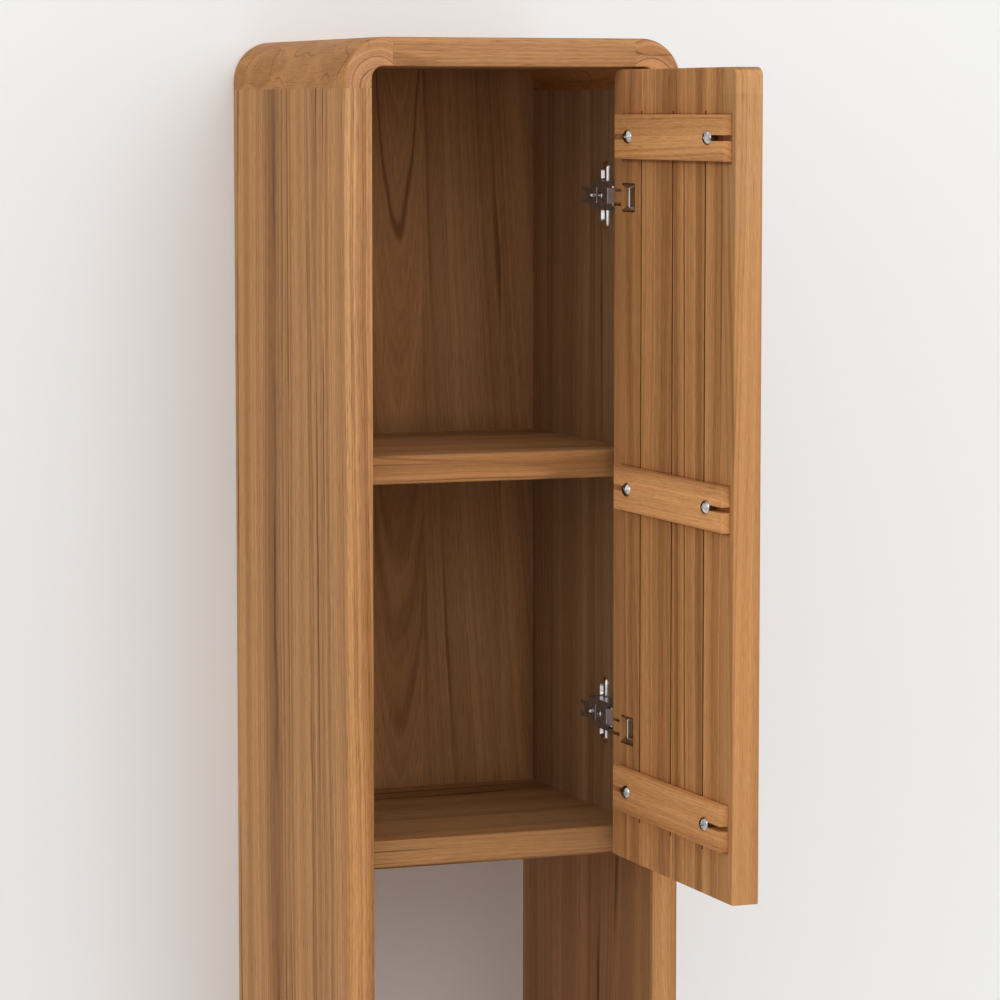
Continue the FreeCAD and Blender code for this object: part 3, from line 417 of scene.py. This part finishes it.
haze = maths(teak, "MULTIPLY", bands, BAND_HAZE)
haze = maths(teak, "ADD", haze, maths(teak, "MULTIPLY", pores, PORE_HAZE))
join(teak, maths(teak, "ADD", haze, SATIN), made["Roughness"])
hollows = maths(teak, "ADD", pores, lines)
relief = maths(teak, "SUBTRACT", maths(teak, "MULTIPLY", fibres, FIBRE_RELIEF), hollows)
bump = teak.nodes.new("ShaderNodeBump")
bump.inputs["Strength"].default_value = 0.3
bump.inputs["Distance"].default_value = RELIEF_METRES
join(teak, relief, bump.inputs["Height"])
join(teak, bump.outputs[0], made["Normal"])
print("the whole figure has", len(teak.nodes), "nodes")


# %% [markdown]
# ## Teak for each piece
#
# Each piece of wood says how it was cut: which of the frame's directions lie across, through and along
# it, how wide its staves are and where the pith lay. The sides, the door and the back run upright, the top,
# shelf and floors run left to right, the battens run along the door's width, and the corner blocks run from
# front to back, so that the rings show on their front ends.
#
# Two more things change the colour of a piece. A cut end often differs from the faces, so the finish reads how
# far a face's normal leans along the grain. And some places get a tint, given as boxes of the frame. The tints
# and the tones of the boards are matched to the photograph by mean colours. It shows the inside duller than
# this light makes it, two edges paler towards their tops, and dark lines in the saw cuts, around the battens
# and at the back panel's edges. The tints for these are painted light and painted shade, so a room lit in
# another way would call for other tints.

# %% Directions of the grain, and boxes
COMPARTMENT_LOW, COMPARTMENT_HIGH = (-0.1265, -0.262, -0.5975), (0.1265, 0.0, 0.0765)
SHARP = 0.0002  # metres over which the edge of a tint fades where nothing else is said


def in_grain(tree, place, cut):
    """A vector of the frame, turned to lie across, through and along the grain."""
    split = tree.nodes.new("ShaderNodeSeparateXYZ")
    join(tree, place, split.inputs[0])
    turned = tree.nodes.new("ShaderNodeCombineXYZ")
    for axis, socket in zip(cut, turned.inputs):
        join(tree, split.outputs["xyz".index(axis)], socket)
    return turned.outputs[0]


def within(tree, place, low, high, fade=SHARP):
    """One inside a box and zero outside it, with a fade at its faces, or one for each direction."""
    split = tree.nodes.new("ShaderNodeSeparateXYZ")
    join(tree, place, split.inputs[0])
    fades = fade if isinstance(fade, tuple) else (fade, fade, fade)
    inside = 1.0
    for number, least, most, soft in zip(split.outputs, low, high, fades):
        inside = maths(tree, "MULTIPLY", inside, ramp(tree, number, least - soft, least + soft))
        inside = maths(tree, "MULTIPLY", inside, ramp(tree, number, most - soft, most + soft, 1.0, 0.0))
    return inside


print("the compartment reaches from", COMPARTMENT_LOW, "to", COMPARTMENT_HIGH)

# %% A teak finish
# painted shade: inside the compartment the colour is made cooler and duller, standing in for its dim light
INSIDE_PAINTED_SHADE = COMPARTMENT_LOW, COMPARTMENT_HIGH, (0.97, 1.06, 1.16, 1)
DARK_END = (0.62, 0.62, 0.62, 1)
END_LEAN = 0.6, 0.9  # how far a normal leans along the grain where a face passes into an end
NOWHERE = 9.0  # metres, farther than any piece reaches, for a lip or a late ring that isn't wanted


def teak_finish(name, cut, stave, seed, start=0.0, pith=(0.05, 0.05, 0.0), lip=NOWHERE, waver=(6, 6, 0.8),
                tone=1.0, contrast=1.0, lines=1.0, veins=0.0, ring=NOWHERE, end=DARK_END,
                patches=(INSIDE_PAINTED_SHADE,)):
    """Teak cut from the log in the three given directions: across, through and along."""
    finish, tree, shader = new_finish(name)
    points = tree.nodes.new("ShaderNodeTexCoord").outputs
    figure = tree.nodes.new("ShaderNodeGroup")
    figure.node_tree = teak
    grain_place = in_grain(tree, points["Object"], cut)
    join(tree, vector_maths(tree, "SUBTRACT", grain_place, (start, 0, 0)), figure.inputs["Place"])
    for socket, number in (
        ("Stave", stave), ("Seed", seed), ("Lip", lip), ("Tone", tone), ("Lines", lines),
        ("Contrast", contrast), ("Veins", veins), ("Ring", ring), ("Pith", pith), ("Waver", waver),
    ):
        figure.inputs[socket].default_value = number
    leaning = tree.nodes.new("ShaderNodeSeparateXYZ")
    join(tree, in_grain(tree, points["Normal"], cut), leaning.inputs[0])
    facing_end = ramp(tree, maths(tree, "ABSOLUTE", leaning.outputs[2]), *END_LEAN)
    colour = blend_colours(tree, facing_end, figure.outputs["Colour"], end, "MULTIPLY")
    for *box, tint in patches:
        colour = blend_colours(tree, within(tree, points["Object"], *box), colour, tint, "MULTIPLY")
    join(tree, colour, shader.inputs["Base Color"])
    join(tree, figure.outputs["Roughness"], shader.inputs["Roughness"])
    join(tree, figure.outputs["Normal"], shader.inputs["Normal"])
    shader.inputs["Specular IOR Level"].default_value = 0.07
    return finish


def dress(names, finish):
    """Give the named pieces this finish and no other."""
    for name in names:
        cabinet[name].data.materials.clear()
        cabinet[name].data.materials.append(finish)
    print(finish.name, "on", *names)


print("where nothing else is said, a cut end has", DARK_END[0], "of a face's lightness")

# %% Teak sides, top and base
# painted light: the left side's front edge grows paler and cooler towards its top
LEFT_FRONT_PAINTED_LIGHT = (-0.2, -0.4, -0.25), (-0.1, -0.3, 0.5), (0.001, 0.002, 0.3), (1.11, 1.21, 1.38, 1)
SHADED_FACE = (
    ((0.1255, -0.30, -0.5975), (0.1265, 0.0, 0.0765), (0.74, 0.92, 1.21, 1)),
    ((0.1255, -0.30, -0.88), (0.1265, 0.0, -0.5975), (0.74, 0.74, 0.74, 1)),
)

dress(["left_side"], teak_finish(
    "left_side_teak", "yxz", stave=0.1, start=-0.326, seed=1.0, contrast=1.3, lines=1.4,
    patches=(INSIDE_PAINTED_SHADE, LEFT_FRONT_PAINTED_LIGHT),
))
dress(["right_side"], teak_finish(
    "right_side_teak", "yxz", stave=0.1, start=-0.36, seed=2.0, contrast=0.75, patches=SHADED_FACE,
))
dress(["top_board"], teak_finish(
    "top_teak", "yzx", stave=0.103, start=-0.306, seed=3.0, contrast=1.2, veins=0.45, tone=0.89,
))
dress(["base_board"], teak_finish(
    "base_teak", "yzx", stave=0.103, start=-0.306, seed=4.0, contrast=1.1,
))

# %% Teak shelf, floor and back
# painted shade: the back is made a little cooler inside the compartment
BACK_INSIDE_PAINTED_SHADE = COMPARTMENT_LOW, COMPARTMENT_HIGH, (0.98, 1.00, 1.08, 1)
# painted shade: the back's tone is low and these boxes lift it, so a dark band of shade stays along its edges
LIFT_OUT_OF_PAINTED_SHADE = (1.32, 1.32, 1.32, 1)
BACK_EDGE_PAINTED_SHADE = (
    ((-0.2, -0.1, -0.239), (0.118, -0.022, 0.068), 0.010, LIFT_OUT_OF_PAINTED_SHADE),
    ((-0.2, -0.1, -0.565), (0.118, -0.022, -0.281), 0.010, LIFT_OUT_OF_PAINTED_SHADE),
    ((-0.2, -0.020, -0.7), (0.2, 0.0, 0.2), 0.001, LIFT_OUT_OF_PAINTED_SHADE),
)

dress(["middle_shelf"], teak_finish(
    "shelf_teak", "yzx", stave=0.09, start=-0.264, seed=5.0, contrast=0.6, veins=0.5, tone=0.97,
))
dress(["cabinet_floor"], teak_finish(
    "cabinet_floor_teak", "yzx", stave=0.09, start=-0.278, seed=6.0, contrast=0.9, tone=0.70,
))
# a tilted pith under the first stave draws the pointed arch, and one late ring makes it dark
dress(["back_panel"], teak_finish(
    "back_teak", "xyz", stave=0.0755, start=-0.0567, pith=(-0.0136, 0.0563, -0.0483), seed=7.0,
    waver=(3, 3, 0.3), contrast=0.7, lines=0.8, ring=0.0344, tone=0.65, patches=(BACK_INSIDE_PAINTED_SHADE, *BACK_EDGE_PAINTED_SHADE),
))

# %% Teak door
DOOR_MIDDLE = sum(corner.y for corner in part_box("door_panel")) / 2
# painted shade: the saw cuts in the door's inner face, and the holes in the same box, are darkened as shade
SAW_CUT_PAINTED_SHADE = (0.0963, -0.53, -0.565), (0.1045, -0.336, 0.045), (0.22, 0.20, 0.18, 1)
# painted light: the door's free edge grows paler towards its top, and its tip paler still
DOOR_TIP_PAINTED_LIGHT = (0.09, -0.54, 0.053), (0.13, -0.513, 0.08), (1.08, 1.07, 1.06, 1)
DOOR_EDGE_PAINTED_LIGHT = (0.09, -0.54, -0.06), (0.13, -0.513, 0.3), (0.001, 0.001, 0.1), (1.05, 1.14, 1.26, 1)
OUTER_FACE = (0.1185, -0.6, -0.7), (0.13, -0.2, 0.2), 0.001, (0.90, 0.90, 0.92, 1)
BATTENS = "upper_batten", "middle_batten", "lower_batten"
# painted shadow: a dark band around each batten on the door's face, wider below it, stands in for its shade
BATTEN_PAINTED_SHADOW = (0.56, 0.52, 0.48, 1)
BATTEN_SHADOW_FADE = 0.001
SHADOW_BELOW_BATTEN, SHADOW_ABOVE_BATTEN = Vector((0, 0.001, 0.0025)), Vector((0.0005, 0.001, 0.001))

batten_painted_shadows = []
for name in BATTENS:
    low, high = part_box(name)
    batten_painted_shadows.append((low - SHADOW_BELOW_BATTEN, high + SHADOW_ABOVE_BATTEN, BATTEN_SHADOW_FADE, BATTEN_PAINTED_SHADOW))
dress(["door_panel"], teak_finish(
    "door_teak", "yxz", stave=0.0655, start=DOOR_MIDDLE, seed=8.0, lip=0.1, tone=1.16, contrast=1.15,
    patches=(SAW_CUT_PAINTED_SHADE, DOOR_TIP_PAINTED_LIGHT, DOOR_EDGE_PAINTED_LIGHT, OUTER_FACE, *batten_painted_shadows),
))

# %% Teak battens
WHOLE = 9.0  # metres, a stave wider than any piece, for a piece cut from one plank
BATTEN_END = (0.74, 0.72, 0.70, 1)

for number, name in enumerate(BATTENS):
    level = sum(corner.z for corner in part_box(name)) / 2
    dress([name], teak_finish(
        f"{name}_teak", "zxy", stave=WHOLE, start=level - WHOLE / 2, pith=(0.045, -0.06, 0.02),
        seed=11.0 + number, tone=1.42, contrast=0.85, lines=0.35, end=BATTEN_END,
    ))

# %% Teak corner blocks and dowels
ROSY_END = (1.12, 1.24, 1.76, 1)
WARM_BLOCK = (-0.2, -0.4, -1.0), (0.2, 0.1, 0.2), (1.0, 0.92, 0.74, 1)
# painted shade: the corner blocks are darker inside the compartment
CORNER_INSIDE_PAINTED_SHADE = COMPARTMENT_LOW, COMPARTMENT_HIGH, (0.80, 0.82, 0.84, 1)
PITH_FROM_MIDDLE, UPPER_PITH, LOWER_PITH = 0.122, 0.062, -0.862

for number, (name, x, z) in enumerate((
    ("upper_left_corner", -PITH_FROM_MIDDLE, UPPER_PITH),
    ("upper_right_corner", PITH_FROM_MIDDLE, UPPER_PITH),
    ("lower_left_corner", -PITH_FROM_MIDDLE, LOWER_PITH),
    ("lower_right_corner", PITH_FROM_MIDDLE, LOWER_PITH),
)):
    dress([name], teak_finish(
        f"{name}_teak", "xzy", stave=WHOLE, start=x - WHOLE / 2, pith=(0.0, -z, 0.0), seed=21.0 + number,
        waver=(10, 10, 7), tone=0.98, contrast=0.75, lines=1.4, veins=0.85, ring=0.0215, end=ROSY_END,
        patches=(WARM_BLOCK, CORNER_INSIDE_PAINTED_SHADE),
    ))
dress(["corner_dowels", "floor_dowels", "shelf_dowels"], teak_finish(
    "dowel_wood", "yzx", stave=WHOLE, seed=31.0, tone=1.25, contrast=0.5,
))


# %% [markdown]
# ## Metal
#
# The screw heads and the hinge plates are polished chrome, the arms and cups a darker polished steel, and the
# hidden hanging plates are zinc plated. Polished metal shows its surroundings, so most of its look comes from
# the room. Faint brushing and a little haze keep it from being a perfect mirror. The neck of each arm, in
# front of its first rib, shows as a lighter satin grey in the photograph, so it is rougher there. The ears at
# its end are a guess at how the hinge works, and are toned brown so that they stand out less beside the door.

# %% A metal finish
EVERYWHERE = 9.0
NECK = (-EVERYWHERE, -EVERYWHERE, -EVERYWHERE), (EVERYWHERE, -0.2405, EVERYWHERE)
EARS = (-EVERYWHERE, -EVERYWHERE, -EVERYWHERE), (EVERYWHERE, -0.2535, EVERYWHERE)
SATIN_GREY = (0.70, 0.65, 0.62, 1)
SATIN_ROUGHNESS = 0.35
EAR_BROWN = (0.46, 0.28, 0.15, 1)
CLOUD_SCALE, CLOUD_EDGE = 120.0, (0.35, 0.7)
BRUSHING_METRES = 0.0002


def metal_finish(name, colour, shade, gloss, haze, brushing, metallic=1.0, satin_neck=False):
    """Polished or plated metal with a cloudy tone, from a base gloss to a hazier one."""
    finish, tree, shader = new_finish(name)
    place = tree.nodes.new("ShaderNodeTexCoord").outputs["Object"]
    # the cloud mottles the tone; with a dark shade, as on the screws, it is a painted reflection
    mottle_and_painted_reflection = ramp(tree, noise(tree, place, CLOUD_SCALE, 3.0), *CLOUD_EDGE)
    scratch = noise(tree, vector_maths(tree, "MULTIPLY", place, brushing), 1.0, 2.0, 0.6)
    tint = blend_colours(tree, mottle_and_painted_reflection, colour, shade)
    rough = maths(tree, "ADD", maths(tree, "MULTIPLY", scratch, haze), maths(tree, "MULTIPLY", mottle_and_painted_reflection, haze))
    rough = maths(tree, "ADD", rough, gloss)
    if satin_neck:
        neck = within(tree, place, *NECK)
        tint = blend_colours(tree, neck, tint, SATIN_GREY)
        tint = blend_colours(tree, within(tree, place, *EARS), tint, EAR_BROWN)
        rough = maths(tree, "ADD", rough, maths(tree, "MULTIPLY", neck, SATIN_ROUGHNESS))
    join(tree, tint, shader.inputs["Base Color"])
    join(tree, rough, shader.inputs["Roughness"])
    bump = tree.nodes.new("ShaderNodeBump")
    bump.inputs["Strength"].default_value = 0.06
    bump.inputs["Distance"].default_value = BRUSHING_METRES
    join(tree, scratch, bump.inputs["Height"])
    join(tree, bump.outputs[0], shader.inputs["Normal"])
    shader.inputs["Metallic"].default_value = metallic
    return finish


print("the satin neck lies in front of y =", NECK[1][1], "and the ears in front of y =", EARS[1][1])

# %% Chrome, steel and zinc
UPRIGHT, LEVEL, FINE_UPRIGHT = (900, 900, 60), (80, 80, 1400), (1200, 1200, 90)  # ways of the brushing

dress(["cup_cross_pins", "upper_hinge_plate", "lower_hinge_plate"], metal_finish(
    "chrome", (0.86, 0.86, 0.87, 1), (0.74, 0.74, 0.75, 1), gloss=0.06, haze=0.08, brushing=UPRIGHT,
))
dress(["upper_hinge_arm", "lower_hinge_arm"], metal_finish(
    "arm_steel", (0.36, 0.36, 0.36, 1), (0.27, 0.27, 0.27, 1), gloss=0.16, haze=0.12, brushing=LEVEL,
    metallic=0.8, satin_neck=True,
))
dress([
    "upper_hinge_leaf", "lower_hinge_leaf", "upper_hinge_cup", "lower_hinge_cup", "hinge_pins",
], metal_finish(
    "cup_steel", (0.40, 0.38, 0.37, 1), (0.30, 0.28, 0.27, 1), gloss=0.16, haze=0.12, brushing=LEVEL,
))
dress(["left_hanging_plate", "right_hanging_plate", "hanging_plate_screws"], metal_finish(
    "zinc_plate", (0.62, 0.63, 0.65, 1), (0.50, 0.51, 0.53, 1), gloss=0.30, haze=0.2, brushing=FINE_UPRIGHT,
))
# painted reflection: the screw heads' cloud runs from light to nearly black, for the surroundings they mirror
dress(["batten_screws", "cup_screws", "plate_screws", "arm_screws", "arm_rivets"], metal_finish(
    "screw_chrome", (0.78, 0.77, 0.76, 1), (0.26, 0.25, 0.24, 1), gloss=0.05, haze=0.06, brushing=UPRIGHT,
))
